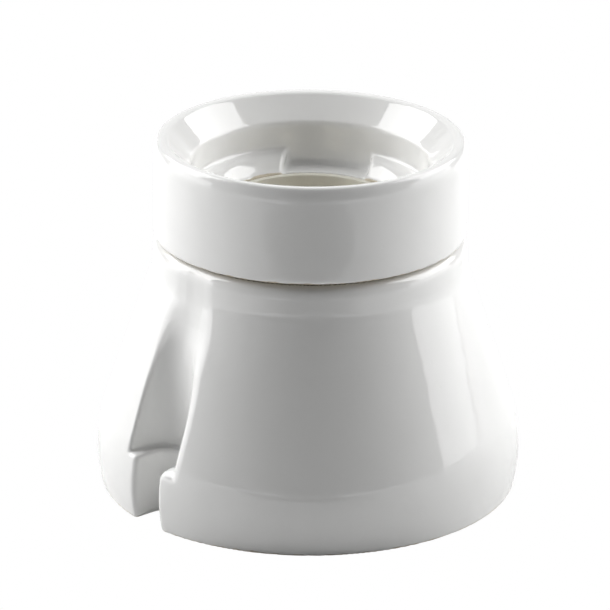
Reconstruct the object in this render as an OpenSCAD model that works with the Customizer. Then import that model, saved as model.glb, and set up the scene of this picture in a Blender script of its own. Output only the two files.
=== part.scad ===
// Surface-mounted porcelain lampholder for an E27 screw-cap lamp.
// A hollow cone-shaped base stands on the wall or ceiling, a porcelain ring screws into its
// neck and carries the Edison screw shell, and a steatite contact block sits inside.
// Millimetres, +Z away from the wall, origin at the centre of the wall face.
// The two wall-screw slots lie on the X axis.

/* [Base] */
// Widest diameter of the base
base_d = 85; // [84:0.5:90]
// Height of the base up to the seam
base_h = 52; // [51.8:0.1:52]
// Outside diameter of the short neck under the seam
neck_d = 62.4; // [61:0.1:64]
// Height at which the base is widest
band_h = 7; // [5:0.5:9]
// Radius of the bulge between the foot band and the cone
bulge_r = 30; // [25:1:35]
// Lean of the cone from the vertical, in degrees
cone_lean = 18.5; // [18:0.1:19]
// Thickness of the chamber wall at the foot
foot_wall = 5.2; // [4.5:0.1:6]

/* [Wall-screw slots] */
// Distance of the screwdriver groove's axis from the centre
groove_x = 38.3; // [38:0.1:39]
// Radius of the screwdriver groove
groove_r = 6.3; // [5.5:0.1:6.5]
// Height of the foot that the screw clamps
sill_h = 13.5; // [12:0.5:15]
// Distance of the slot's round end from the centre
slot_x = 37; // [36:0.1:38]
// Width of the open slot
slot_w = 7; // [5:0.1:7.5]

/* [Ring] */
// Outside diameter of the screw ring
ring_d = 62; // [61:0.1:63]
// Height of the ring's crest above the wall
crest_h = 71.9; // [71:0.1:73]
// Radius of the crest line
crest_r = 29.6; // [29:0.1:30]
// Radius of the cup inside the ring
cup_r = 23.45; // [23:0.05:24]
// Height of the sharp edge between funnel and cup
cup_edge_h = 66.9; // [66:0.1:68]
// Height of the ledge at the bottom of the cup
ledge_h = 58.3; // [58:0.1:59]
// Radius of the bore below the ledge
ring_bore_r = 17.7; // [17.6:0.05:17.9]
// Width of each gap between the sloping shoulders
gap_w = 17.4; // [14:0.1:18]
// Direction of the first gap, in degrees from +X
gap_at = 38.7; // [0:0.1:120]
// Lead of the ring's screw thread
ring_pitch = 4; // [4:1:4]

/* [Edison shell] */
// Inside radius at the thread's roots
shell_root_r = 13.3; // [13.28:0.01:13.32]
// Depth of the rounded thread
shell_depth = 1.1; // [1:0.01:1.1]
// Pitch of the Edison thread, seven turns to the inch
shell_pitch = 3.629; // [3.629:0.001:3.629]
// Thickness of the rolled sheet
shell_t = 0.4; // [0.3:0.05:0.4]

/* [Contacts and terminals] */
// Height of the contact block's top face
block_top = 31; // [31:0.1:31]
// Distance of the rivets and terminals from the centre
terminal_x = 9; // [9:0.1:9.2]
// Distance of the terminal screws from the XZ plane
terminal_y = 5.6; // [5.4:0.1:5.8]

/* [Hidden] */
$fn = 96;
e = 0.01;

base_r = base_d / 2;
neck_r = neck_d / 2;
ring_r = ring_d / 2;
web_top = 28;
web_bottom = 23;
web_hole_r = 16.2;
cavity_r = 24.9;
seam_gap = 0.3;
gasket_seat = 0.6;
gasket_seat_r = 29;
ring_bottom = base_h + seam_gap;
skirt_bottom = 34;
skirt_r = 23.3;
thread_depth = 1.3;
thread_foot = 1.3;
thread_crest = 0.55;
insert_screw_y = 18.8;
insert_hole_r = 1.7;
block_flange_r = 21.5;
block_body_r = 15.7;
block_gasket_t = 0.6;
leaf_t = 0.5;
leaf_w = 6;
rivet_r = 1.4;
terminal_bottom = 14;
terminal_top = 19;
screw_r = 1.45;
washer_t = 0.7;
sleeve_bore_r = 14;
sleeve_r = 17.5;
sleeve_foot_r = 19.4;
sleeve_foot_z = 35.45;
pocket_top = 38;
circlip_z = 34.9;
circlip_r = 0.5;
small_fn = 32;
medium_fn = 48;

// Points of a round stretch, as [radius, height] pairs.
function arc(cx, cz, rx, rz, from, to, steps) =
    [for (i = [0:steps]) let (a = from + (to - from) * i / steps) [cx + rx * cos(a), cz + rz * sin(a)]];

// Outline of the base's outside from the wall face to the seam.
function base_outline() =
    let (
        foot_r = 1,
        neck_blend = 9,
        neck_edge = 1.2,
        belly = arc(base_r - bulge_r, band_h, bulge_r, bulge_r, -10, cone_lean, 12),
        last = belly[len(belly) - 1],
        blend_start_r = neck_r + neck_blend * (1 - cos(cone_lean)),
        blend_start_z = last[1] + (last[0] - blend_start_r) / tan(cone_lean),
        blend_z = blend_start_z + neck_blend * sin(cone_lean)
    )
    concat(
        arc(belly[0][0] - foot_r + 0.2, foot_r, foot_r, foot_r, -90, -15, 4),
        belly,
        arc(neck_r + neck_blend, blend_z, neck_blend, neck_blend, 180 + cone_lean, 180, 6),
        arc(neck_r - neck_edge, base_h - neck_edge, neck_edge, neck_edge, 0, 90, 4)
    );

// Ridges of the ring's coarse thread, drawn as equal rings that run in the base's plain bore.
module thread_ridges() {
    first_ridge = skirt_bottom + 4.5;
    sunk = 0.4;
    for (turn = [0:2])
        translate([0, 0, first_ridge + ring_pitch * turn])
            rotate_extrude()
                polygon([[skirt_r - sunk, -thread_foot], [skirt_r, -thread_foot],
                    [skirt_r + thread_depth, -thread_crest], [skirt_r + thread_depth, thread_crest],
                    [skirt_r, thread_foot], [skirt_r - sunk, thread_foot]]);
}

module at_slots() {
    for (turn = [0, 180])
        rotate([0, 0, turn])
            children();
}

module at_insert_screws() {
    for (side = [-1, 1])
        translate([0, side * insert_screw_y, 0])
            children();
}

// Hollow for the wiring behind the web, with solid bosses left round the slots.
module wiring_chamber() {
    boss_wall = 4.2;
    chamber_taper = 5.6;
    chamber_r = base_r - foot_wall;
    difference() {
        translate([0, 0, -e])
            cylinder(h = web_bottom + e, r1 = chamber_r, r2 = chamber_r - chamber_taper);
        at_slots()
            translate([groove_x, 0, -1])
                cylinder(h = web_bottom + 2, r = groove_r + boss_wall);
    }
}

module base() {
    knockout = [12, 10, 10];
    knockout_skin = 1.6;
    past_edge = 10;
    web_t = web_top - web_bottom;
    color("whitesmoke")
    difference() {
        rotate_extrude()
            polygon(concat([[0, 0]], base_outline(), [[0, base_h]]));
        wiring_chamber();
        translate([0, 0, web_top])
            cylinder(h = base_h, r = cavity_r);
        translate([0, 0, base_h - gasket_seat])
            cylinder(h = gasket_seat + 1, r = gasket_seat_r);
        translate([0, 0, web_bottom - 1])
            cylinder(h = web_t + 2, r = web_hole_r);
        at_insert_screws()
            translate([0, 0, web_bottom - 1])
                cylinder(h = web_t + 2, r = insert_hole_r, $fn = small_fn);
        at_slots() {
            translate([groove_x, 0, sill_h]) {
                cylinder(h = base_h, r = groove_r);
                translate([0, -groove_r, 0])
                    cube([past_edge, 2 * groove_r, base_h]);
            }
            translate([slot_x, 0, -1]) {
                cylinder(h = sill_h + 2, r = slot_w / 2, $fn = medium_fn);
                translate([0, -slot_w / 2, 0])
                    cube([past_edge, slot_w, sill_h + 2]);
            }
        }
        translate([-knockout[0] / 2, base_r - knockout_skin - knockout[1], -e])
            cube(knockout);
    }
}

module seam_gasket() {
    outer_clearance = 0.3;
    inner_clearance = 0.6;
    gasket_t = gasket_seat + seam_gap;
    color("gainsboro")
    translate([0, 0, base_h - gasket_seat])
        difference() {
            cylinder(h = gasket_t, r = gasket_seat_r - outer_clearance);
            translate([0, 0, -1])
                cylinder(h = gasket_t + 2, r = cavity_r + inner_clearance);
        }
}

// The sloping shoulders that lead the lamp's neck into the bore, before the gaps are cut.
module shoulders() {
    sunk_r = cup_r + 0.5;
    rotate_extrude()
        polygon([
            [ring_bore_r, ledge_h - e], [ring_bore_r, ledge_h], [ring_bore_r + 0.5, ledge_h + 0.5],
            [ring_bore_r + 2.8, ledge_h + 2.4], [ring_bore_r + 3.4, ledge_h + 2.7],
            [sunk_r, ledge_h + 3.3], [sunk_r, ledge_h - e]
        ]);
}

// One gap between two shoulders: a straight-sided cut from the axis outwards.
module shoulder_gap() {
    rotate([0, 0, gap_at])
        translate([0, -gap_w / 2, ledge_h])
            cube([ring_r, gap_w, crest_h]);
}

module shroud_ring() {
    crest_drop = 3.6;
    crest_round = 2.2;
    pocket_r = sleeve_foot_r + 0.2;
    groove_depth = 0.9;
    groove_half = circlip_r + 0.1;
    foot_chamfer = 0.6;
    seam_chamfer = 0.2;
    color("white")
    union() {
        rotate_extrude()
            polygon(concat(
                [[ring_bore_r, pocket_top], [pocket_r, pocket_top], [pocket_r, circlip_z + groove_half],
                    [pocket_r + groove_depth, circlip_z + groove_half],
                    [pocket_r + groove_depth, circlip_z - groove_half],
                    [pocket_r, circlip_z - groove_half], [pocket_r, skirt_bottom],
                    [skirt_r - foot_chamfer, skirt_bottom], [skirt_r, skirt_bottom + foot_chamfer],
                    [skirt_r, ring_bottom], [ring_r - seam_chamfer, ring_bottom],
                    [ring_r, ring_bottom + seam_chamfer]],
                arc(crest_r, crest_h - crest_drop, ring_r - crest_r, crest_drop, 0, 90, 8),
                arc(crest_r, crest_h - crest_round, crest_round, crest_round, 100, 135, 4),
                [[cup_r, cup_edge_h], [cup_r, ledge_h], [ring_bore_r, ledge_h]]
            ));
        difference() {
            shoulders();
            for (turn = [0, 120, 240])
                rotate([0, 0, turn])
                    shoulder_gap();
        }
        thread_ridges();
    }
}

module inner_sleeve() {
    collar_r = 16;
    mouth_r = 16.3;
    mouth_z = 53.4;
    top = 58.2;
    rounding = 0.4;
    color("antiquewhite")
    rotate_extrude()
        polygon([
            [sleeve_bore_r, sleeve_foot_z - 0.25], [collar_r, sleeve_foot_z - 0.25],
            [collar_r, sleeve_foot_z], [sleeve_foot_r, sleeve_foot_z], [sleeve_foot_r, pocket_top - 0.1],
            [sleeve_r, pocket_top - 0.1], [sleeve_r, top - rounding], [sleeve_r - 0.3, top],
            [mouth_r + rounding, top], [mouth_r, top - rounding], [mouth_r, mouth_z],
            [sleeve_bore_r, mouth_z]
        ]);
}

// Rounded Edison thread drawn as equal rings, with flanges that grip the sleeve.
module screw_shell() {
    turns = 5;
    samples = 16;
    crest_flattening = 0.53;
    foot_flange_r = 15.2;
    top_flange_r = 16;
    bottom = sleeve_foot_z - 0.35;
    top = bottom + 18.35;
    start = (bottom + top - turns * shell_pitch) / 2;
    function depth(k) = shell_depth * min(1, crest_flattening * (1 - cos(360 * k / samples)));
    wave = [for (k = [0:turns * samples])
        [shell_root_r - depth(k), start + shell_pitch * k / samples]];
    inside = concat([[shell_root_r, bottom - shell_t]], wave, [[shell_root_r, top + shell_t]]);
    outside = [for (i = [len(wave) - 1:-1:0]) [wave[i][0] + shell_t, wave[i][1]]];
    color("tan")
    rotate_extrude()
        polygon(concat(
            inside,
            [[top_flange_r, top + shell_t], [top_flange_r, top], [shell_root_r + shell_t, top]],
            outside,
            [[shell_root_r + shell_t, bottom], [foot_flange_r, bottom], [foot_flange_r, bottom - shell_t]]
        ));
}

module sleeve_circlip() {
    opening_at = 75;
    opening = 25;
    color("silver")
    rotate([0, 0, opening_at + opening])
        translate([0, 0, circlip_z])
            rotate_extrude(angle = 360 - opening)
                translate([sleeve_foot_r + 0.1, 0])
                    circle(r = circlip_r, $fn = 24);
}

module contact_block() {
    body_bottom = 17;
    pocket_d = 2.2;
    leaf_play = 0.4;
    pocket_w = leaf_w + 2 * leaf_play;
    pocket_z = block_top - pocket_d;
    terminal_pocket = [7.2, 12.8, terminal_top];
    color("ivory")
    difference() {
        union() {
            translate([0, 0, web_top + block_gasket_t])
                cylinder(h = block_top - web_top - block_gasket_t, r = block_flange_r);
            translate([0, 0, body_bottom])
                cylinder(h = block_top - body_bottom - 1, r = block_body_r);
        }
        at_insert_screws()
            translate([0, 0, web_bottom])
                cylinder(h = block_top, r = insert_hole_r, $fn = small_fn);
        translate([-12.2, -pocket_w / 2, pocket_z])
            cube([17.2, pocket_w, block_top]);
        translate([5.8, -pocket_w / 2, pocket_z])
            cube([10.4, pocket_w, block_top]);
        for (side = [-1, 1])
            translate([side * terminal_x, 0, 0]) {
                translate([-terminal_pocket[0] / 2, -3.5, 0])
                    cube(terminal_pocket);
                cylinder(h = block_top + 1, r = rivet_r + 0.1, $fn = small_fn);
                translate([0, terminal_y, 0])
                    cylinder(h = terminal_top + 3, r = 2, $fn = small_fn);
            }
    }
}

module block_gasket() {
    color("saddlebrown")
    translate([0, 0, web_top])
        difference() {
            cylinder(h = block_gasket_t, r = block_flange_r);
            translate([0, 0, -1])
                cylinder(h = block_gasket_t + 2, r = web_hole_r + 0.3);
            at_insert_screws()
                translate([0, 0, -1])
                    cylinder(h = block_gasket_t + 2, r = insert_hole_r, $fn = small_fn);
        }
}

// A bent strip seen from the side: the line along its underside, thickened upwards.
module leaf(line, hole_x) {
    above = [for (i = [len(line) - 1:-1:0]) line[i] + [0, leaf_t]];
    color("peru")
    difference() {
        translate([0, leaf_w / 2, 0])
            rotate([90, 0, 0])
                linear_extrude(height = leaf_w)
                    polygon(concat(line, above));
        translate([hole_x, 0, block_top - 1])
            cylinder(h = leaf_t + 2, r = rivet_r + 0.35, $fn = small_fn);
    }
}

module centre_contact() {
    leaf([[-13, block_top], [-6.4, block_top], [-2.4, block_top + 2], [1.6, block_top + 2],
        [2.6, block_top + 1.5]], -terminal_x);
}

module contact_button() {
    button_x = -0.4;
    button_r = 1.9;
    button_h = 0.8;
    dome_r = 3;
    foot_z = block_top + 2 + leaf_t;
    color("silver")
    intersection() {
        translate([button_x, 0, foot_z])
            cylinder(h = button_h, r = button_r, $fn = medium_fn);
        translate([button_x, 0, foot_z + button_h - dome_r])
            sphere(r = dome_r, $fn = 64);
    }
}

module neutral_contact() {
    tip = 34.65 - leaf_t;
    leaf([[5, block_top], [11.8, block_top], [13.7, tip], [15.1, tip], [15.7, tip - 0.8]], terminal_x);
}

module contact_rivets() {
    head_h = 0.9;
    foot = terminal_bottom + e;
    color("goldenrod")
    for (side = [-1, 1])
        translate([side * terminal_x, 0, 0]) {
            translate([0, 0, foot]) {
                cylinder(h = block_top + leaf_t - terminal_bottom, r = rivet_r, $fn = small_fn);
                cylinder(h = head_h, r1 = rivet_r + 0.8, r2 = rivet_r, $fn = small_fn);
            }
            translate([0, 0, block_top + leaf_t])
                cylinder(h = head_h, r1 = 2.5, r2 = 1.8, $fn = small_fn);
        }
}

// Brass block with two cheeks that keep the clamp plate from turning.
module terminal(side) {
    size = [7, 12.6, terminal_top - terminal_bottom];
    cheek = [0.75, 7.2, 3];
    cheek_drop = 2.8;
    rivet_clearance = 0.05;
    color("gold")
    translate([side * terminal_x, 0, terminal_bottom])
        difference() {
            union() {
                translate([-size[0] / 2, -3.4, 0])
                    cube(size);
                for (x = [-size[0] / 2, size[0] / 2 - cheek[0]])
                    translate([x, 2, -cheek_drop])
                        cube(cheek);
            }
            translate([0, 0, -1])
                cylinder(h = size[2] + 2, r = rivet_r + rivet_clearance, $fn = small_fn);
            translate([0, 0, -e])
                cylinder(h = 0.95, r1 = rivet_r + 0.86, r2 = rivet_r + rivet_clearance, $fn = small_fn);
            translate([0, terminal_y, -cheek_drop - 1])
                cylinder(h = terminal_top, r = screw_r + 0.1, $fn = small_fn);
        }
}

module live_terminal() {
    terminal(-1);
}

module neutral_terminal() {
    terminal(1);
}

module clamp_plate(side) {
    plate = [5.2, 6.6, 1.2];
    color("khaki")
    translate([side * terminal_x, terminal_y, terminal_bottom - 0.05 - plate[2]])
        difference() {
            translate([-plate[0] / 2, -plate[1] / 2, 0])
                cube(plate);
            translate([0, 0, -1])
                cylinder(h = plate[2] + 2, r = screw_r + 0.2, $fn = small_fn);
        }
}

module live_clamp_plate() {
    clamp_plate(-1);
}

module neutral_clamp_plate() {
    clamp_plate(1);
}

// Slotted pan-head screw with its tip towards +Z and the underside of its head at z = 0.
module pan_screw(length, head_r, head_h) {
    tip = 0.5;
    crown = 0.6;
    slot = 0.8;
    slot_depth = 1;
    difference() {
        union() {
            translate([0, 0, -e])
                cylinder(h = length - tip, r = screw_r, $fn = small_fn);
            translate([0, 0, length - tip - 2 * e])
                cylinder(h = tip, r1 = screw_r, r2 = screw_r - 0.4, $fn = small_fn);
            translate([0, 0, -head_h])
                cylinder(h = crown, r1 = head_r - 0.5, r2 = head_r, $fn = medium_fn);
            translate([0, 0, crown - head_h])
                cylinder(h = head_h - crown, r = head_r, $fn = medium_fn);
        }
        translate([-head_r - 1, -slot / 2, -head_h - 1])
            cube([2 * head_r + 2, slot, slot_depth + 1]);
    }
}

module terminal_screw(side) {
    color("lightgrey")
    translate([side * terminal_x, terminal_y, terminal_bottom - 1.27])
        rotate([0, 0, side * 25])
            pan_screw(length = 8, head_r = 2.5, head_h = 2.3);
}

module live_terminal_screw() {
    terminal_screw(-1);
}

module neutral_terminal_screw() {
    terminal_screw(1);
}

module insert_screws() {
    color("lightgrey")
    at_insert_screws()
        translate([0, 0, block_top])
            rotate([180, 0, 60])
                pan_screw(length = 12, head_r = 2.6, head_h = 1.9);
}

module insert_lock_washers() {
    washer_r = 3;
    split = 0.5;
    color("grey")
    at_insert_screws()
        translate([0, 0, web_bottom - washer_t])
            difference() {
                cylinder(h = washer_t, r = washer_r, $fn = medium_fn);
                translate([0, 0, -1])
                    cylinder(h = washer_t + 2, r = screw_r + 0.15, $fn = small_fn);
                translate([0, -split / 2, -1])
                    cube([washer_r + 1, split, washer_t + 2]);
            }
}

module insert_nuts() {
    nut_h = 2.4;
    nut_corner_r = 3.15;
    color("silver")
    at_insert_screws()
        translate([0, 0, web_bottom - washer_t - nut_h])
            difference() {
                cylinder(h = nut_h, r = nut_corner_r, $fn = 6);
                translate([0, 0, -1])
                    cylinder(h = nut_h + 2, r = screw_r + 0.05, $fn = small_fn);
            }
}

base();
seam_gasket();
shroud_ring();
inner_sleeve();
screw_shell();
sleeve_circlip();
contact_block();
block_gasket();
centre_contact();
contact_button();
neutral_contact();
contact_rivets();
live_terminal();
neutral_terminal();
live_clamp_plate();
neutral_clamp_plate();
live_terminal_screw();
neutral_terminal_screw();
insert_screws();
insert_lock_washers();
insert_nuts();
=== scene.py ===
"""Looks of a surface-mounted porcelain E27 lampholder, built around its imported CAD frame.

The porcelain, the contact block, the screws and the nuts are distance fields, in millimetres and
negative inside, whose edges are rounded where two surfaces meet; surface_net() turns each into a
mesh with exact normals. The sheet-metal parts are turned or bent strips, and the small blocks are
CAD shapes with softened edges.
"""
import math

import bpy
import numpy as np
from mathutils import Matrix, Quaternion, Vector


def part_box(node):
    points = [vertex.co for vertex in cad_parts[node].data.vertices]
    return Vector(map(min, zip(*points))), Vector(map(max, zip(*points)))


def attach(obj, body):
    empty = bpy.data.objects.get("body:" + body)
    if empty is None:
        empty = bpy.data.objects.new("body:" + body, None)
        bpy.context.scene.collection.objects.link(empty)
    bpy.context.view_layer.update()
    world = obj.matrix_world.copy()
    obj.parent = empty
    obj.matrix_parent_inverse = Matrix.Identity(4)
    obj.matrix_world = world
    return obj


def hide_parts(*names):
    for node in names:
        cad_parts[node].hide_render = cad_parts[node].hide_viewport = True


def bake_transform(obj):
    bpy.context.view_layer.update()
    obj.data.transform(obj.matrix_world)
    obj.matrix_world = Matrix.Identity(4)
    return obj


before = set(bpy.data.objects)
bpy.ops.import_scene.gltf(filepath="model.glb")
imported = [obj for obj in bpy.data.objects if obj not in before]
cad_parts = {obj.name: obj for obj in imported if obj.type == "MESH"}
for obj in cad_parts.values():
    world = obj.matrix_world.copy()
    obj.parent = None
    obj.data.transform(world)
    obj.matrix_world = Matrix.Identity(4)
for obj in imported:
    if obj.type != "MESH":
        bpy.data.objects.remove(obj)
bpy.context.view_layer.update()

MM = 0.001


def box_mm(node):
    """Lowest and highest corner of a CAD node, in millimetres."""
    return [tuple(v / MM for v in corner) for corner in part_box(node)]


# Sizes that the frame gives, in millimetres
(_, _, _), (_, BASE_R, BASE_H) = box_mm("base")
(_, _, SKIRT_BOTTOM), (RING_R, _, CREST_H) = box_mm("shroud_ring")
(_, _, SLEEVE_BOTTOM), (SLEEVE_R, _, SLEEVE_TOP) = box_mm("inner_sleeve")
(_, _, SHELL_BOTTOM), (_, _, SHELL_TOP) = box_mm("screw_shell")
(_, _, BLOCK_BOTTOM), (BLOCK_R, _, BLOCK_TOP) = box_mm("contact_block")
(_, _, RIVET_BOTTOM), (_, _, RIVET_TOP) = box_mm("contact_rivets")

# Base
NECK_R = 31.2
BAND_H = 7
BULGE_R = 30
LEAN = math.radians(18.5)
NECK_BLEND = 9
NECK_DRAFT = 0.03
WEB_TOP = 28
WEB_BOTTOM = 23
FOOT_WALL = 5.2
CHAMBER_LEAN = 0.24
WEB_HOLE_R = 16.2
GROOVE_X = 38.3
GROOVE_R = 6.3
SILL_H = 13.5
SLOT_X = 37
SLOT_R = 3.5
BOSS_R = 10.5
INSERT_Y = 18.8
INSERT_HOLE_R = 1.7
INSERT_HOLE_H = 25.5
GASKET_SEAT_R = 29
GASKET_SEAT = 0.6
GASKET_T = 0.6
BORE_R = 25.2
BORE_THREAD = (38.5, 51)
KNOCKOUT_W = 12
KNOCKOUT_H = 10
KNOCKOUT_DEPTH = 11.6
KNOCKOUT_SKIN = 1.6

# Ring
SEAM_H = 52.3
CREST_R = 29.6
CREST_DROP = 3.6
CREST_ROUND = 2.2
CUP_R = 23.45
CUP_EDGE_H = 66.9
LEDGE_H = 58.3
RING_BORE_R = 17.7
SKIRT_R = 23.3
SKIRT_THREAD = (36, 48)
POCKET_R = 19.6
POCKET_TOP = 38
CLIP_GROOVE_R = 20.5
CLIP_GROOVE_H = 34.9
CLIP_GROOVE_W = 1.2
SHOULDERS = 3
SHOULDER_SLOPE = math.radians(40)
SHOULDER_RUN = 3.1
SHOULDER_RISE = 2.6
SHOULDER_TOP_SLOPE = math.radians(12)
GAP_W = 17.4
GAP_AT = math.radians(38.7)

# Sleeve
SLEEVE_BORE_R = 14
SLEEVE_TRUNK_R = 16
SLEEVE_NECK_R = 17.5
SLEEVE_MOUTH_R = 16.3
FLANGE_BOTTOM = 35.45
FLANGE_TOP = 37.9
SHELL_SEAT_H = 53.4

# Coarse thread between ring and base, and the Edison thread
LEAD = 4
THREAD_DEPTH = 1.3
THREAD_FOOT = 1.3
THREAD_CREST = 0.55
SHELL_ROOT_R = 13.3
SHELL_DEPTH = 1.1
SHELL_PITCH = 3.629
SHELL_T = 0.4
SHELL_FLANGE_R = 16
SHELL_FOOT_R = 15.2

# Contacts and screws
TERMINAL_X = 9
TERMINAL_Y = 5.6
TERMINAL_BOTTOM = 14
TERMINAL_RECESS = ((-3.6, -3.5), (3.6, 9.3))
TERMINAL_RECESS_TOP = 19
SCREW_WELL_R = 2
SCREW_WELL_TOP = 22
TRUNK_R = 15.7
LEAF_T = 0.5
LEAF_W = 6
LEAF_SLOT_W = LEAF_W + 0.8
LEAF_SLOT_DEPTH = 2.2
LEAF_SLOTS = ((-12.2, 5), (5.8, 16.2))
LEAF_BEND = (-6.4, -2.4)
LEAF_RISE = 2
NEUTRAL_GAP = 0.05
RIVET_R = 1.4
RIVET_HEAD_R = 2.5
RIVET_SHOP_R = 2.2
SCREW_R = 1.45
SCREW_PITCH = 0.5
SCREW_CUT = 0.24
NUT_CUT = 0.2
NUT_FLAT_R = 2.72


# ---------------------------------------------------------------- fields

def smooth_max(a, b, k):
    """Larger of two fields, with the edge between them rounded over about k."""
    h = np.clip(0.5 + 0.5 * (a - b) / k, 0, 1)
    return b + (a - b) * h + k * h * (1 - h)


def smooth_min(a, b, k):
    """Smaller of two fields, with a fillet of about k in the corner between them."""
    return -smooth_max(-a, -b, k)


def block(x, y, z, low, high):
    """Field of an upright box."""
    sides = [np.maximum(lo - v, v - hi) for v, lo, hi in zip((x, y, z), low, high)]
    return np.maximum(np.maximum(sides[0], sides[1]), sides[2])


def ridge(x, y, z, phase, bottom, top):
    """Height, 0 to 1, of a right-hand screw ridge that dies away at its ends."""
    turn = np.arctan2(y, x) / (2 * math.pi)
    off = np.abs(np.mod(z / LEAD - turn + phase, 1) - 0.5) * LEAD
    flank = np.clip((THREAD_FOOT - off) / (THREAD_FOOT - THREAD_CREST), 0, 1)
    fade = np.clip((z - bottom) / 2, 0, 1) * np.clip((top - z) / 2, 0, 1)
    return flank * flank * (3 - 2 * flank) * fade


def base_radius(z):
    """Outside radius of the base: bulge, cone, blend and neck."""
    bulge_x = BASE_R - BULGE_R
    cone_z = BAND_H + BULGE_R * math.sin(LEAN)
    cone_r = bulge_x + BULGE_R * math.cos(LEAN)
    blend_r = NECK_R + NECK_BLEND * (1 - math.cos(LEAN))
    blend_z = cone_z + (cone_r - blend_r) / math.tan(LEAN)
    neck_z = blend_z + NECK_BLEND * math.sin(LEAN)
    bulge = bulge_x + np.sqrt(np.maximum(BULGE_R**2 - (z - BAND_H) ** 2, 1))
    cone = cone_r - (z - cone_z) * math.tan(LEAN)
    blend = NECK_R + NECK_BLEND - np.sqrt(np.maximum(NECK_BLEND**2 - (neck_z - z) ** 2, 1))
    neck = NECK_R - (z - neck_z) * NECK_DRAFT
    return np.select([z < cone_z, z < blend_z, z < neck_z], [bulge, cone, blend], neck)


def base_field(x, y, z):
    """The base: outer shape less chamber, threaded bore, slots, grooves and knock-out."""
    r = np.hypot(x, y)
    body = smooth_max(0.95 * (r - base_radius(z)), z - BASE_H, 3.2)
    body = smooth_max(body, -z, 0.6)
    chamber_r = BASE_R - FOOT_WALL - z * CHAMBER_LEAN
    boss = BOSS_R - np.hypot(np.abs(x) - GROOVE_X, y)
    chamber = smooth_max(smooth_max(r - chamber_r, z - WEB_BOTTOM, 2.5), boss, 2.5)
    bore_r = BORE_R - THREAD_DEPTH * ridge(x, y, z, 0.5, *BORE_THREAD)
    bore = smooth_max(r - bore_r, WEB_TOP - z, 1.0)
    seat = np.maximum(r - GASKET_SEAT_R, BASE_H - GASKET_SEAT - z)
    web_hole = np.maximum(np.maximum(r - WEB_HOLE_R, z - WEB_TOP - 2), WEB_BOTTOM - 2 - z)
    insert_holes = np.hypot(x, np.abs(y) - INSERT_Y) - INSERT_HOLE_R
    insert_holes = np.maximum(insert_holes, np.abs(z - INSERT_HOLE_H) - 5)
    out = np.abs(x)
    groove = np.where(out < GROOVE_X, np.hypot(out - GROOVE_X, y), np.abs(y)) - GROOVE_R
    groove = smooth_max(groove, SILL_H - z, 0.8)
    slot = np.where(out < SLOT_X, np.hypot(out - SLOT_X, y), np.abs(y)) - SLOT_R
    slot = np.maximum(slot, z - SILL_H - 2)
    knockout = block(x, y, z, (-KNOCKOUT_W / 2, BASE_R - KNOCKOUT_DEPTH, -2),
                     (KNOCKOUT_W / 2, BASE_R - KNOCKOUT_SKIN, KNOCKOUT_H))
    # The grooves' edges are rounder on one flank than on the other, and towards the top
    lip = np.clip((y * np.sign(x) + 1) / 5, 0, 1)
    groove_edge = 0.9 + 1.8 * lip + 1.5 * np.clip((z - 32) / 8, 0, 1)
    cuts = [(chamber, 1.2), (web_hole, 0.6), (bore, 0.6), (seat, 0.4), (insert_holes, 0.4),
            (slot, 1.4), (groove, groove_edge), (knockout, 0.8)]
    for void, rounding in cuts:
        body = smooth_max(body, -void, rounding)
    return body


def shoulder_field(x, y, z, r):
    """The three sloping shoulders round the ring's bore."""
    face = (z - LEDGE_H) * math.cos(SHOULDER_SLOPE) - (r - RING_BORE_R) * math.sin(SHOULDER_SLOPE)
    over, past = z - LEDGE_H - SHOULDER_RISE, r - RING_BORE_R - SHOULDER_RUN
    top = over * math.cos(SHOULDER_TOP_SLOPE) - past * math.sin(SHOULDER_TOP_SLOPE)
    body = smooth_max(face, top, 0.8)
    for turn in range(SHOULDERS):
        angle = GAP_AT + turn * math.tau / SHOULDERS
        along = x * math.cos(angle) + y * math.sin(angle)
        across = y * math.cos(angle) - x * math.sin(angle)
        body = smooth_max(body, np.minimum(GAP_W / 2 - np.abs(across), along), 0.9)
    inside = np.maximum(np.maximum(RING_BORE_R - r, LEDGE_H - 0.5 - z), r - CUP_R - 0.8)
    return np.maximum(body, inside)


def ring_field(x, y, z):
    """The ring: shroud with funnel and cup, threaded skirt, bore, pocket and circlip groove."""
    r = np.hypot(x, y)
    out = np.maximum(r - CREST_R, 0) / (RING_R - CREST_R)
    up = np.maximum(z - CREST_H + CREST_DROP, 0) / CREST_DROP
    shroud = smooth_max(2 * (np.hypot(out, up) - 1), SEAM_H - z, 0.8)
    skirt_r = SKIRT_R + THREAD_DEPTH * ridge(x, y, z, 0, *SKIRT_THREAD)
    skirt = smooth_max(np.maximum(r - skirt_r, z - LEDGE_H), SKIRT_BOTTOM - z, 0.8)
    body = smooth_min(shroud, skirt, 0.5)
    reach = CREST_R - CREST_ROUND * math.sqrt(0.5)
    knee = CREST_H - CREST_ROUND * (1 - math.sqrt(0.5))
    arc = CREST_H - CREST_ROUND + np.sqrt(np.maximum(CREST_ROUND**2 - (CREST_R - r) ** 2, 0))
    funnel = knee - (reach - r) * (knee - CUP_EDGE_H) / (reach - CUP_R)
    top = np.select([r > CREST_R, r > reach], [CREST_H + 0 * r, arc], funnel)
    body = smooth_max(body, 0.74 * (z - top), 0.3)
    cup = smooth_max(r - CUP_R, LEDGE_H - z, 1.4)
    body = smooth_max(body, -cup, 0.5)
    bore = np.maximum(r - RING_BORE_R, POCKET_TOP - z)
    pocket = np.maximum(r - POCKET_R, z - POCKET_TOP)
    clip_groove = np.maximum(r - CLIP_GROOVE_R, np.abs(z - CLIP_GROOVE_H) - CLIP_GROOVE_W / 2)
    for void in (bore, pocket, clip_groove):
        body = smooth_max(body, -void, 0.4)
    return smooth_min(body, shoulder_field(x, y, z, r), 0.9)


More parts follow.
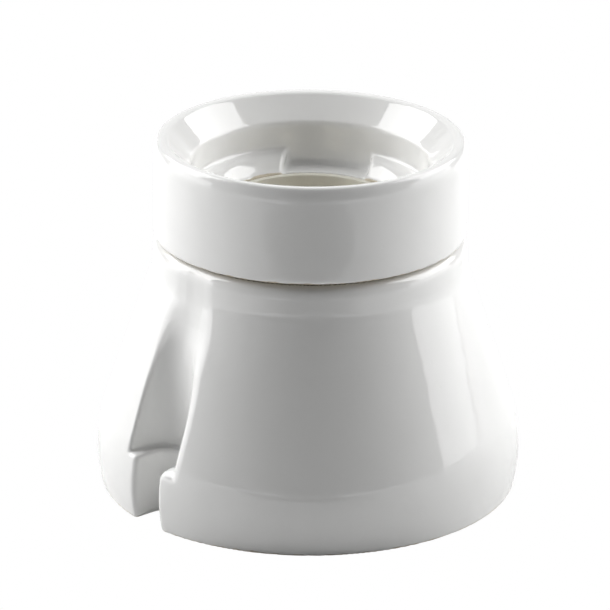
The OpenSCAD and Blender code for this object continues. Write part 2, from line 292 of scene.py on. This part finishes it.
def block_field(x, y, z):
    """The contact block: flange and trunk, less leaf slots, rivet, screw and terminal recesses."""
    r = np.hypot(x, y)
    flange = smooth_max(r - BLOCK_R, np.maximum(z - BLOCK_TOP, WEB_TOP + GASKET_T - z), 0.5)
    trunk = smooth_max(r - TRUNK_R, np.maximum(BLOCK_BOTTOM - z, z - BLOCK_TOP + 1), 0.8)
    body = smooth_min(flange, trunk, 0.6)
    from_terminal = np.abs(x) - TERMINAL_X
    (recess_left, recess_back), (recess_right, recess_front) = TERMINAL_RECESS
    half = LEAF_SLOT_W / 2
    holes = [np.hypot(x, np.abs(y) - INSERT_Y) - INSERT_HOLE_R]
    for start, end in LEAF_SLOTS:
        holes.append(block(x, y, z, (start, -half, BLOCK_TOP - LEAF_SLOT_DEPTH),
                           (end, half, BLOCK_TOP + 5)))
    holes += [np.hypot(from_terminal, y) - RIVET_R - 0.1,
              block(np.abs(x), y, z, (TERMINAL_X + recess_left, recess_back, 0),
                    (TERMINAL_X + recess_right, recess_front, TERMINAL_RECESS_TOP)),
              np.maximum(np.hypot(from_terminal, y - TERMINAL_Y) - SCREW_WELL_R, z - SCREW_WELL_TOP)]
    for void in holes:
        body = smooth_max(body, -void, 0.35)
    return body


def screw_field(length, head_r, head_h):
    """A slotted pan-head screw: tip towards +Z, underside of the head at z = 0."""
    def field(x, y, z):
        r = np.hypot(x, y)
        turn = np.arctan2(y, x) / (2 * math.pi)
        tooth = np.abs(np.mod(z / SCREW_PITCH - turn, 1) - 0.5) * 2
        cut = SCREW_CUT * tooth * np.clip((z - 0.3) / 0.3, 0, 1)
        shank = smooth_max(0.8 * (r - SCREW_R + cut), z - length, 0.5)
        shank = np.maximum(shank, -0.5 - z)
        dome = np.hypot(r, z - 2.6) - head_h - 2.6
        head = smooth_max(smooth_max(r - head_r, dome, 0.4), z, 0.15)
        slot = np.maximum(np.abs(y) - 0.4, z + head_h - 1)
        return smooth_min(smooth_max(head, -slot, 0.12), shank, 0.1)
    return field


def nut_field(height, flat_r):
    """A chamfered hexagon nut standing on z = 0, with a threaded hole."""
    def field(x, y, z):
        r = np.hypot(x, y)
        hexagon = -1e9
        for side in range(6):
            angle = math.radians(30 + 60 * side)
            hexagon = np.maximum(hexagon, x * math.cos(angle) + y * math.sin(angle) - flat_r)
        turn = np.arctan2(y, x) / (2 * math.pi)
        tooth = np.abs(np.mod(z / SCREW_PITCH - turn, 1) - 0.5) * 2
        ends = np.maximum(-z, z - height)
        bevel = r - flat_r - 0.32 + 0.6 * (np.abs(z - height / 2) - height / 2 + 0.5)
        body = smooth_max(smooth_max(hexagon, ends, 0.15), bevel, 0.12)
        return smooth_max(body, -(r - SCREW_R - 0.05 - NUT_CUT * tooth), 0.12)
    return field


# ---------------------------------------------------------------- meshing

def surface_net(field, low, high, step):
    """Vertices and outward quads on the zero surface of a field."""
    low = np.array(low, float)
    counts = [int(math.ceil((h - l) / step)) + 1 for l, h in zip(low, high)]
    axes = [l + step * np.arange(n) for l, n in zip(low, counts)]
    values = np.broadcast_to(field(*np.meshgrid(*axes, indexing="ij", sparse=True)), counts)
    cells = tuple(n - 1 for n in counts)
    total = np.zeros(cells + (3,))
    hits = np.zeros(cells)
    crossings = []
    for axis in range(3):
        a, b = (axis + 1) % 3, (axis + 2) % 3
        first = np.take(values, range(cells[axis]), axis)
        last = np.take(values, range(1, counts[axis]), axis)
        crossing = (first < 0) != (last < 0)
        share = np.where(crossing, first / np.where(crossing, first - last, 1), 0)
        crossings.append((crossing, first < 0))
        for da in (0, 1):
            for db in (0, 1):
                window = [slice(None)] * 3
                window[a] = slice(da, da + cells[a])
                window[b] = slice(db, db + cells[b])
                here = crossing[tuple(window)]
                hits += here
                total[..., axis] += share[tuple(window)]
                total[..., a] += here * da
                total[..., b] += here * db
    active = hits > 0
    number = np.full(cells, -1)
    number[active] = np.arange(active.sum())
    points = (np.argwhere(active) + total[active] / hits[active][:, None]) * step + low
    quads = []
    for axis, (crossing, outward) in enumerate(crossings):
        a, b = (axis + 1) % 3, (axis + 2) % 3
        edges = np.argwhere(crossing)
        corners = []
        for da, db in ((-1, -1), (0, -1), (0, 0), (-1, 0)):
            cell = edges.copy()
            cell[:, a] += da
            cell[:, b] += db
            corners.append(number[tuple(cell.T)])
        found = np.stack(corners, 1)
        turn = ~outward[tuple(edges.T)]
        found[turn] = found[turn, ::-1]
        quads.append(found)
    return points, np.concatenate(quads)


def gradient(field, points, h=0.02):
    """Slope of a field at each point, by differences over 2h."""
    slopes = []
    for axis in range(3):
        ahead, behind = points.copy(), points.copy()
        ahead[:, axis] += h
        behind[:, axis] -= h
        slopes.append((field(*ahead.T) - field(*behind.T)) / (2 * h))
    return np.stack(slopes, 1)


def settle(field, points, rounds=4, reach=0.2):
    """Moves points onto the zero surface."""
    for _ in range(rounds):
        slope = gradient(field, points)
        share = field(*points.T) / np.maximum((slope**2).sum(1), 0.05)
        points = points - np.clip(share, -reach, reach)[:, None] * slope
    return points


def add_object(name, points, faces):
    """An object from points in millimetres."""
    mesh = bpy.data.meshes.new(name)
    faces = faces.tolist() if isinstance(faces, np.ndarray) else faces
    mesh.from_pydata((np.asarray(points) * MM).tolist(), [], faces)
    mesh.validate()
    piece = bpy.data.objects.new(name, mesh)
    bpy.context.collection.objects.link(piece)
    return piece


def apply_modifiers(piece):
    """Makes the modifiers part of the mesh."""
    graph = bpy.context.evaluated_depsgraph_get()
    made = bpy.data.meshes.new_from_object(piece.evaluated_get(graph))
    piece.modifiers.clear()
    piece.data = made
    return piece


def field_piece(name, field, low, high, step, keep, places=((0, 0, 0, 0, False),)):
    """Meshes a field, thins the mesh to the share keep, and gives it the field's own normals.
    Each place is (x, y, z, turn in degrees, upside down)."""
    points, quads = surface_net(field, low, high, step)
    piece = add_object(name, settle(field, points), quads)
    thin = piece.modifiers.new("thin", "DECIMATE")
    thin.ratio = keep
    apply_modifiers(piece)
    count = len(piece.data.vertices)
    flat = np.zeros(count * 3)
    piece.data.vertices.foreach_get("co", flat)
    points = settle(field, flat.reshape(-1, 3) / MM, 3)
    faces = [tuple(p.vertices) for p in piece.data.polygons]
    normals = gradient(field, points)
    normals /= np.maximum(np.linalg.norm(normals, axis=1, keepdims=True), 1e-9)
    bpy.data.objects.remove(piece)
    all_points, all_normals, all_faces = [], [], []
    for x, y, z, turn, flipped in places:
        c, s = math.cos(math.radians(turn)), math.sin(math.radians(turn))
        spin = np.array([[c, -s, 0], [s, c, 0], [0, 0, 1]])
        if flipped:
            spin = np.diag([1, -1, -1]) @ spin
        all_faces += [tuple(i + count * len(all_points) for i in f) for f in faces]
        all_points.append(points @ spin.T + np.array([x, y, z]))
        all_normals.append(normals @ spin.T)
    piece = add_object(name, np.concatenate(all_points), all_faces)
    piece.data.shade_smooth()
    piece.data.normals_split_custom_set_from_vertices(np.concatenate(all_normals).tolist())
    return piece


def rounded(points, radius, steps=3, closed=True):
    """A polyline with each corner replaced by a curve that starts radius away from it."""
    points = [np.array(p, float) for p in points]
    made = []
    count = len(points)
    for i, corner in enumerate(points):
        if not closed and i in (0, count - 1):
            made.append(corner)
            continue
        before, after = points[i - 1] - corner, points[(i + 1) % count] - corner
        reach = [min(radius / np.linalg.norm(v), 0.48) * v for v in (before, after)]
        for k in range(steps + 1):
            t = k / steps
            made.append(corner + (1 - t) ** 2 * reach[0] + t**2 * reach[1])
    return made


def turned(name, profile, steps=144, places=((0, 0),)):
    """A closed (radius, height) profile turned round the Z axis, at each place."""
    points, faces = [], []
    count = len(profile)
    for x, y in places:
        first = len(points)
        for i in range(steps):
            c, s = math.cos(math.tau * i / steps), math.sin(math.tau * i / steps)
            points += [(x + r * c, y + r * s, z) for r, z in profile]
        for i in range(steps):
            for k in range(count):
                near, far = first + i * count, first + (i + 1) % steps * count
                faces.append((near + k, far + k, far + (k + 1) % count, near + (k + 1) % count))
    return add_object(name, points, faces)


def shade(piece, angle=32):
    """Smooth shading, with edges over the angle in degrees kept sharp."""
    piece.data.shade_smooth()
    piece.data.set_sharp_from_angle(angle=math.radians(angle))
    return piece


def strip(name, line, width, thickness):
    """A flat spring: a bent line in the XZ plane, thickened upwards and widened along Y."""
    line = np.array(rounded(line, 1.1, 6, closed=False))
    filled = [line[0]]
    for a, b in zip(line, line[1:]):
        parts = max(1, int(np.linalg.norm(b - a) / 0.5))
        filled += [a + (b - a) * (k + 1) / parts for k in range(parts)]
    line = np.array(filled)
    run = np.gradient(line, axis=0)
    run /= np.linalg.norm(run, axis=1, keepdims=True)
    up = np.stack([-run[:, 1], run[:, 0]], 1) * thickness
    half, edge = width / 2, 0.08
    section = [(-half, edge), (-half, 1 - edge), (-half + edge, 1), (half - edge, 1),
               (half, 1 - edge), (half, edge), (half - edge, 0), (-half + edge, 0)]
    points = [(p[0] + u[0] * h, y, p[1] + u[1] * h) for p, u in zip(line, up) for y, h in section]
    n = len(section)
    faces = [(n * i + k, n * i + (k + 1) % n, n * (i + 1) + (k + 1) % n, n * (i + 1) + k)
             for i in range(len(line) - 1) for k in range(n)]
    faces += [tuple(range(n))[::-1], tuple(n * (len(line) - 1) + k for k in range(n))]
    return shade(add_object(name, points, faces), 40)


def softened(node, name, width=0.14):
    """The shape of a CAD node with its sharp edges rounded."""
    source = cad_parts[node]
    piece = bpy.data.objects.new(name, source.data.copy())
    bpy.context.collection.objects.link(piece)
    weld = piece.modifiers.new("weld", "WELD")
    weld.merge_threshold = 0.002 * MM
    flat = piece.modifiers.new("flat", "DECIMATE")
    flat.decimate_type = "DISSOLVE"
    flat.angle_limit = math.radians(0.6)
    bevel = piece.modifiers.new("bevel", "BEVEL")
    bevel.width = width * MM
    bevel.segments = 2
    bevel.limit_method = "ANGLE"
    bevel.angle_limit = math.radians(40)
    piece.data.materials.clear()
    return shade(apply_modifiers(piece))


# ---------------------------------------------------------------- materials

class Nodes:
    """Short ways to add and join shader nodes."""

    def __init__(self, name):
        self.material = bpy.data.materials.new(name)
        self.material.use_nodes = True
        self.tree = self.material.node_tree
        self.shader = self.tree.nodes["Principled BSDF"]
        self.place = self.add("ShaderNodeTexCoord").outputs["Object"]

    def add(self, kind, **settings):
        node = self.tree.nodes.new(kind)
        for key, value in settings.items():
            setattr(node, key, value)
        return node

    def join(self, source, target):
        self.tree.links.new(source, target)

    def noise(self, scale, detail=3, stretch=None):
        node = self.add("ShaderNodeTexNoise")
        node.inputs["Scale"].default_value = scale
        node.inputs["Detail"].default_value = detail
        place = self.place
        if stretch:
            mapping = self.add("ShaderNodeMapping")
            mapping.inputs["Scale"].default_value = stretch
            self.join(place, mapping.inputs["Vector"])
            place = mapping.outputs["Vector"]
        self.join(place, node.inputs["Vector"])
        return node.outputs["Fac"]

    def span(self, value, low, high, start=0.0, end=1.0):
        node = self.add("ShaderNodeMapRange")
        for key, number in zip(("From Min", "From Max", "To Min", "To Max"), (start, end, low, high)):
            node.inputs[key].default_value = number
        self.join(value, node.inputs["Value"])
        return node.outputs["Result"]

    def maths(self, operation, a, b):
        node = self.add("ShaderNodeMath", operation=operation)
        for socket, value in zip(node.inputs, (a, b)):
            if isinstance(value, (int, float)):
                socket.default_value = value
            else:
                self.join(value, socket)
        return node.outputs["Value"]

    def blend(self, share, a, b):
        """Mixes two colours, each a tuple or a socket."""
        node = self.add("ShaderNodeMix", data_type="RGBA")
        self.join(share, node.inputs["Factor"])
        for socket, value in ((node.inputs[6], a), (node.inputs[7], b)):
            if isinstance(value, tuple):
                socket.default_value = (*value, 1)
            else:
                self.join(value, socket)
        return node.outputs[2]

    def bump(self, height, distance, under=None):
        node = self.add("ShaderNodeBump")
        node.inputs["Distance"].default_value = distance
        self.join(height, node.inputs["Height"])
        if under is not None:
            self.join(under, node.inputs["Normal"])
        return node.outputs["Normal"]

    def feed(self, **sockets):
        for key, value in sockets.items():
            socket = self.shader.inputs[key.replace("_", " ")]
            if isinstance(value, (int, float)):
                socket.default_value = value
            else:
                self.join(value, socket)
        return self.material


def porcelain(name, bare_below, bare_above, bare_inside):
    """White glaze over a beige body, which shows on the faces that were wiped or stood on."""
    n = Nodes(name)
    glaze = n.blend(n.noise(55), (0.80, 0.80, 0.79), (0.845, 0.845, 0.835))
    body = n.blend(n.noise(900, 5), (0.50, 0.44, 0.34), (0.66, 0.60, 0.49))
    # Where the glaze ends, with a ragged edge: below one height, and inside a radius above another
    parts = n.add("ShaderNodeSeparateXYZ")
    n.join(n.place, parts.inputs["Vector"])
    x, y, z = parts.outputs
    radius = n.maths("SQRT", n.maths("ADD", n.maths("MULTIPLY", x, x), n.maths("MULTIPLY", y, y)), 0)
    ragged = n.maths("MULTIPLY", n.maths("SUBTRACT", n.noise(420, 4), 0.5), 0.0009)
    height = n.maths("ADD", z, ragged)
    low = n.span(height, 1, 0, bare_below * MM, (bare_below + 0.12) * MM)
    high = n.span(height, 0, 1, bare_above * MM, (bare_above + 0.12) * MM)
    inner = n.span(n.maths("ADD", radius, ragged), 1, 0, bare_inside * MM, (bare_inside + 0.15) * MM)
    bare = n.maths("MAXIMUM", low, n.maths("MULTIPLY", high, inner))
    # Relief: a slow ripple and fine grain in the glaze, pinholes, and rough bare body
    pits = n.add("ShaderNodeTexVoronoi")
    pits.inputs["Scale"].default_value = 170
    n.join(n.place, pits.inputs["Vector"])
    pit = n.span(pits.outputs["Distance"], 0, 1, 0.03, 0.07)
    grain = n.maths("MULTIPLY", n.noise(2500, 4), bare)
    smooth = n.bump(n.noise(95, 2), 0.00011)
    smooth = n.bump(n.noise(420, 2), 0.000006, smooth)
    smooth = n.bump(pit, 0.00001, smooth)
    normal = n.bump(grain, 0.00012, smooth)
    gloss = n.span(n.noise(240), 0.045, 0.085)
    rough = n.maths("ADD", gloss, n.maths("MULTIPLY", bare, 0.55))
    n.shader.inputs["IOR"].default_value = 1.54
    return n.feed(Base_Color=n.blend(bare, glaze, body), Roughness=rough, Normal=normal)


def matt(name, dark, light, scale, roughness, distance):
    """Unglazed ceramic, fibre or rubber: mottled, rough and slightly grainy."""
    n = Nodes(name)
    tone = n.blend(n.noise(scale, 5), dark, light)
    normal = n.bump(n.noise(scale * 6, 5), distance)
    return n.feed(Base_Color=tone, Roughness=n.span(n.noise(scale * 2), roughness - 0.08, roughness + 0.08),
                  Normal=normal)


def metal(name, dark, light, roughness, stretch=(1, 1, 1)):
    """Bare or plated metal with fine working marks and a little tarnish."""
    n = Nodes(name)
    tone = n.blend(n.span(n.noise(160, 4), 0, 1, 0.3, 0.7), dark, light)
    marks = n.noise(1800, 4, stretch)
    normal = n.bump(marks, 0.000012)
    return n.feed(Base_Color=tone, Metallic=1.0, Normal=normal,
                  Roughness=n.span(n.noise(300, 4), roughness * 0.75, roughness * 1.35))


# ---------------------------------------------------------------- pieces

def finish_piece(piece, node, body, material):
    """Gives a piece its material and slot, and puts it in a node's place, riding on a body."""
    piece.data.materials.clear()
    piece.data.materials.append(material)
    if body:
        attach(piece, body)
    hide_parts(node)


def make_porcelain():
    glazed_base = porcelain("base_porcelain", 0.35, WEB_TOP, 26)
    glazed_ring = porcelain("ring_porcelain", SEAM_H + 0.15, 0, RING_BORE_R - 0.1)
    reach = BASE_R + 1
    base = field_piece("base_shell", base_field, (-reach, -reach, -1),
                       (reach, reach, BASE_H + 1), 0.5, 0.45)
    finish_piece(base, "base", "holder", glazed_base)
    reach = RING_R + 1
    ring = field_piece("ring_shell", ring_field, (-reach, -reach, SKIRT_BOTTOM - 1),
                       (reach, reach, CREST_H + 1), 0.42, 0.45)
    finish_piece(ring, "shroud_ring", "ring", glazed_ring)


def make_ceramics():
    steatite = matt("steatite", (0.66, 0.64, 0.56), (0.78, 0.76, 0.68), 400, 0.55, 0.00003)
    profile = [(SLEEVE_BORE_R, SLEEVE_BOTTOM), (SLEEVE_TRUNK_R, SLEEVE_BOTTOM),
               (SLEEVE_TRUNK_R, FLANGE_BOTTOM), (SLEEVE_R, FLANGE_BOTTOM),
               (SLEEVE_R, FLANGE_TOP), (SLEEVE_NECK_R, FLANGE_TOP),
               (SLEEVE_NECK_R, SLEEVE_TOP), (SLEEVE_MOUTH_R, SLEEVE_TOP),
               (SLEEVE_MOUTH_R, SHELL_SEAT_H), (SLEEVE_BORE_R, SHELL_SEAT_H)]
    sleeve = shade(turned("sleeve_lining", rounded(profile, 0.35, 4)), 50)
    finish_piece(sleeve, "inner_sleeve", "ring", steatite)
    reach = BLOCK_R + 1
    carrier = field_piece("block_body", block_field, (-reach, -reach, BLOCK_BOTTOM - 1),
                          (reach, reach, BLOCK_TOP + 1), 0.35, 0.35)
    finish_piece(carrier, "contact_block", "holder", steatite)


def make_gaskets():
    rubber = matt("gasket_rubber", (0.16, 0.13, 0.10), (0.24, 0.20, 0.16), 700, 0.7, 0.00002)
    fibre = matt("fibre_sheet", (0.30, 0.11, 0.07), (0.42, 0.18, 0.12), 900, 0.6, 0.00003)
    finish_piece(softened("seam_gasket", "seam_seal"), "seam_gasket", "gasket", rubber)
    finish_piece(softened("block_gasket", "block_seal", 0.08), "block_gasket", "holder", fibre)


def make_shell():
    """The Edison shell: rolled sheet with a true rounded helix and a flange at each end."""
    steps = 144
    per_turn = 14
    turns = 5
    fade = 1.4
    edge = 0.1
    neck = SHELL_ROOT_R + SHELL_T + 0.2
    start = (SHELL_BOTTOM + SHELL_TOP - turns * SHELL_PITCH) / 2
    heights = [start + SHELL_PITCH * k / per_turn for k in range(turns * per_turn + 1)]

    def depth(z, angle):
        """How far the wave stands in from the root radius."""
        wave = 0.5 - 0.5 * math.cos(math.tau * (z - start) / SHELL_PITCH - angle)
        ends = min(1, (z - start) / fade) * min(1, (heights[-1] - z) / fade)
        return SHELL_DEPTH * min(1, 1.06 * wave) * max(ends, 0)

    top = [(SHELL_ROOT_R, SHELL_TOP - 0.3), (SHELL_ROOT_R + 0.1, SHELL_TOP - 0.08),
           (SHELL_ROOT_R + 0.35, SHELL_TOP), (SHELL_FLANGE_R - edge, SHELL_TOP),
           (SHELL_FLANGE_R, SHELL_TOP - edge), (SHELL_FLANGE_R, SHELL_TOP - SHELL_T + edge),
           (SHELL_FLANGE_R - edge, SHELL_TOP - SHELL_T), (neck, SHELL_TOP - SHELL_T)]
    foot = [(neck, SHELL_BOTTOM + SHELL_T), (SHELL_FOOT_R - edge, SHELL_BOTTOM + SHELL_T),
            (SHELL_FOOT_R, SHELL_BOTTOM + SHELL_T - edge), (SHELL_FOOT_R, SHELL_BOTTOM + edge),
            (SHELL_FOOT_R - edge, SHELL_BOTTOM), (SHELL_ROOT_R + 0.35, SHELL_BOTTOM),
            (SHELL_ROOT_R + 0.1, SHELL_BOTTOM + 0.08)]
    points, faces = [], []
    for i in range(steps):
        angle = math.tau * i / steps
        wall = [(SHELL_ROOT_R - depth(z, angle), z) for z in heights]
        back = [(r + SHELL_T, z) for r, z in reversed(wall)]
        points += [(r * math.cos(angle), r * math.sin(angle), z) for r, z in wall + top + back + foot]
    count = len(points) // steps
    for i in range(steps):
        near, far = i * count, (i + 1) % steps * count
        faces += [(near + k, far + k, far + (k + 1) % count, near + (k + 1) % count) for k in range(count)]
    shell = shade(add_object("edison_shell", points, faces), 50)
    plated = metal("nickelled_brass", (0.60, 0.55, 0.43), (0.74, 0.70, 0.60), 0.24, (0.2, 0.2, 3))
    finish_piece(shell, "screw_shell", "ring", plated)


def make_contacts():
    bronze = metal("spring_bronze", (0.62, 0.36, 0.17), (0.78, 0.50, 0.28), 0.26, (0.2, 3, 3))
    silver = metal("silver_contact", (0.72, 0.70, 0.64), (0.88, 0.87, 0.83), 0.22)
    brass = metal("brass", (0.66, 0.46, 0.18), (0.82, 0.62, 0.30), 0.25)
    top = BLOCK_TOP
    bend_start, bend_end = LEAF_BEND
    raised = top + LEAF_RISE
    centre = strip("centre_leaf", [(-13, top), (bend_start, top), (bend_end, raised), (1.6, raised),
                                   (2.6, raised - 0.5)], LEAF_W, LEAF_T)
    finish_piece(centre, "centre_contact", None, bronze)
    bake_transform(centre)
    tip = SHELL_BOTTOM - NEUTRAL_GAP - LEAF_T
    neutral = strip("neutral_leaf", [(5, top), (11.8, top), (13.7, tip), (15.1, tip),
                                     (15.7, tip - 0.8)], LEAF_W, LEAF_T)
    finish_piece(neutral, "neutral_contact", "holder", bronze)
    button_low, button_high = box_mm("contact_button")
    button_z, button_top = button_low[2], button_high[2]
    outline = [(1.9, button_z), (1.75, button_z + 0.35), (0.9, button_top - 0.05), (0.02, button_top)]
    dome = [(0.02, button_z)] + rounded(outline, 0.25, 3, closed=False)
    button = shade(turned("contact_stud", dome, 64, places=((-0.4, 0),)), 60)
    finish_piece(button, "contact_button", "button", silver)
    head_z = top + LEAF_T
    rivet = [(0.02, RIVET_BOTTOM), (RIVET_SHOP_R, RIVET_BOTTOM), (RIVET_R, RIVET_BOTTOM + 0.9),
             (RIVET_R, head_z), (RIVET_HEAD_R, head_z), (RIVET_HEAD_R - 0.3, head_z + 0.45),
             (1.2, RIVET_TOP - 0.02), (0.02, RIVET_TOP)]
    rivets = shade(turned("rivet_pair", rounded(rivet, 0.15, 3, closed=False), 48,
                          places=((-TERMINAL_X, 0), (TERMINAL_X, 0))), 50)
    finish_piece(rivets, "contact_rivets", "holder", brass)
    for side in ("live", "neutral"):
        terminal = softened(f"{side}_terminal", f"{side}_block")
        finish_piece(terminal, f"{side}_terminal", "holder", brass)


def make_fasteners():
    zinc = metal("zinc_steel", (0.46, 0.47, 0.48), (0.62, 0.63, 0.64), 0.28)
    spring = metal("spring_steel", (0.20, 0.20, 0.21), (0.33, 0.33, 0.34), 0.3)
    terminal_screw = screw_field(8, 2.5, 2.3)
    for side, sign in (("live", -1), ("neutral", 1)):
        place = (sign * TERMINAL_X, TERMINAL_Y, TERMINAL_BOTTOM - 1.27, sign * 25, False)
        screw = field_piece(f"{side}_screw_m3", terminal_screw, (-3, -3, -3), (3, 3, 9), 0.1, 0.3, (place,))
        finish_piece(screw, f"{side}_terminal_screw", f"{side}_screw", zinc)
        plate = softened(f"{side}_clamp_plate", f"{side}_plate_sheet")
        finish_piece(plate, f"{side}_clamp_plate", f"{side}_plate", zinc)
    spots = [(0, side * INSERT_Y) for side in (-1, 1)]
    places = [(x, y, BLOCK_TOP, 60, True) for x, y in spots]
    screws = field_piece("insert_screw_pair", screw_field(12, 2.6, 1.9), (-3, -3, -3), (3, 3, 13),
                         0.1, 0.3, places)
    finish_piece(screws, "insert_screws", "holder", zinc)
    nut_low, nut_high = box_mm("insert_nuts")
    places = [(x, y, nut_low[2], 0, False) for x, y in spots]
    nuts = field_piece("insert_nut_pair", nut_field(nut_high[2] - nut_low[2], NUT_FLAT_R), (-4, -4, -1),
                       (4, 4, 4), 0.12, 0.35, places)
    finish_piece(nuts, "insert_nuts", "holder", zinc)
    washers = softened("insert_lock_washers", "lock_washer_pair", 0.08)
    finish_piece(washers, "insert_lock_washers", "holder", spring)
    circlip = softened("sleeve_circlip", "circlip_ring", 0.05)
    finish_piece(circlip, "sleeve_circlip", "ring", spring)


# ---------------------------------------------------------------- studio

CAMERA_AZIMUTH = math.radians(-41)
CAMERA_DISTANCE = 0.8318
CAMERA_HEIGHT = 0.3574
CAMERA_LENS = 263.1
CAMERA_ROLL = 0.0084
AIM_SIDE = -0.00084
AIM_HEIGHT = 0.0363
LAMP_DISTANCE = 0.8
TABLE_EDGE = 0.25


def around(angle, distance, height):
    """A point at an angle from the camera's side, seen from above, positive to its right."""
    a = CAMERA_AZIMUTH + angle
    return Vector((math.sin(a) * distance, -math.cos(a) * distance, height))


def make_camera():
    """The view from the front left, a little above, with a slight roll."""
    camera = bpy.data.objects.new("camera", bpy.data.cameras.new("camera"))
    bpy.context.collection.objects.link(camera)
    camera.data.lens = CAMERA_LENS
    camera.location = around(0, CAMERA_DISTANCE, CAMERA_HEIGHT)
    aim = around(math.pi / 2, AIM_SIDE, AIM_HEIGHT)
    look = (aim - camera.location).to_track_quat("-Z", "Y")
    camera.rotation_mode = "QUATERNION"
    camera.rotation_quaternion = look @ Quaternion((0, 0, 1), CAMERA_ROLL)
    bpy.context.scene.camera = camera


def make_panel(name, sides, heights, radiance):
    """A rectangular light facing the object. Its sides are angles round the object from the
    camera, its heights angles above the floor, all in degrees."""
    side, height = math.radians(sum(sides) / 2), math.radians(sum(heights) / 2)
    half_side, half_height = (math.radians(abs(b - a) / 2) for a, b in (sides, heights))
    light = bpy.data.lights.new(name, "AREA")
    light.shape = "RECTANGLE"
    light.size = 2 * LAMP_DISTANCE * math.cos(height) * math.tan(half_side)
    light.size_y = 2 * LAMP_DISTANCE * math.tan(half_height)
    light.energy = radiance * math.pi * light.size * light.size_y
    lamp = bpy.data.objects.new(name, light)
    bpy.context.collection.objects.link(lamp)
    aim = Vector((0, 0, AIM_HEIGHT))
    lamp.location = around(side, LAMP_DISTANCE * math.cos(height),
                           AIM_HEIGHT + LAMP_DISTANCE * math.sin(height))
    lamp.rotation_mode = "QUATERNION"
    lamp.rotation_quaternion = (aim - lamp.location).to_track_quat("-Z", "Y")
    lamp.visible_camera = False


def make_sheet(name, corners, material):
    """A flat stage surface that lights the object but isn't seen itself."""
    mesh = bpy.data.meshes.new(name)
    mesh.from_pydata([tuple(c) for c in corners], [], [tuple(range(len(corners)))])
    sheet = bpy.data.objects.new(name, mesh)
    bpy.context.collection.objects.link(sheet)
    mesh.materials.append(material)
    sheet.visible_camera = False


def make_table():
    """White floor, with a dark patch in front of the object and a bright table beyond it."""
    paper = Nodes("floor_paper")
    paper.shader.inputs["Roughness"].default_value = 0.8
    paper.shader.inputs["Specular IOR Level"].default_value = 0.1
    paper.feed(Base_Color=paper.blend(paper.noise(40), (0.74, 0.74, 0.74), (0.78, 0.78, 0.78)))
    reach = 4
    corners = [(-reach, -reach, 0), (reach, -reach, 0), (reach, reach, 0), (-reach, reach, 0)]
    make_sheet("floor", corners, paper.material)
    black = Nodes("black_card")
    black.shader.inputs["Roughness"].default_value = 0.9
    black.feed(Base_Color=black.blend(black.noise(40), (0.015, 0.015, 0.015), (0.02, 0.02, 0.02)))
    # Sideways and forward distances, in millimetres
    half_outline = ((95, 160), (100, 178), (75, 200), (150, 225), (190, 250))
    outline = [(-x, y) for x, y in half_outline] + list(reversed(half_outline))
    corners = [around(0, y * MM, 2 * MM) + around(math.pi / 2, x * MM, 0) for x, y in outline]
    make_sheet("floor_card", corners, black.material)
    bright = Nodes("bright_paper")
    bright.shader.inputs["Emission Color"].default_value = (1, 1, 1, 1)
    bright.feed(Base_Color=bright.blend(bright.noise(40), (0.7, 0.7, 0.7), (0.75, 0.75, 0.75)),
                Emission_Strength=0.9)
    for side, name in ((-1, "far_table_left"), (1, "far_table_right")):
        outline = ((0.07, TABLE_EDGE), (0.6, TABLE_EDGE), (0.6, 0.9), (0.25, 0.9))
        corners = [around(0, y, 0.002) + around(math.pi / 2, side * x, 0) for x, y in outline]
        make_sheet(name, corners, bright.material)


def make_lights():
    """Two large softboxes at the sides, dimmer walls below them, and a weak wall behind."""
    make_panel("softbox_left", (-82, -138), (13, 56), 5.7)
    make_panel("softbox_right", (82, 138), (13, 56), 5.2)
    make_panel("side_wall_left", (-74, -120), (-2, 13), 2.8)
    make_panel("side_wall_right", (76, 120), (-2, 13), 2.4)
    make_panel("back_wall", (148, 212), (-2, 60), 0.5)


def make_room():
    """A dark room, which the camera sees as plain white behind the object."""
    world = bpy.data.worlds.new("studio")
    world.use_nodes = True
    tree = world.node_tree
    room = tree.nodes["Background"]
    room.inputs["Color"].default_value = (0.02, 0.02, 0.02, 1)
    seen = tree.nodes.new("ShaderNodeBackground")
    seen.inputs["Color"].default_value = (1, 1, 1, 1)
    path = tree.nodes.new("ShaderNodeLightPath")
    mix = tree.nodes.new("ShaderNodeMixShader")
    tree.links.new(path.outputs["Is Camera Ray"], mix.inputs["Fac"])
    tree.links.new(room.outputs["Background"], mix.inputs[1])
    tree.links.new(seen.outputs["Background"], mix.inputs[2])
    tree.links.new(mix.outputs["Shader"], tree.nodes["World Output"].inputs["Surface"])
    bpy.context.scene.world = world
    bpy.context.scene.view_settings.view_transform = "Standard"


make_camera()
make_table()
make_lights()
make_room()
make_porcelain()
make_ceramics()
make_gaskets()
make_shell()
make_contacts()
make_fasteners()
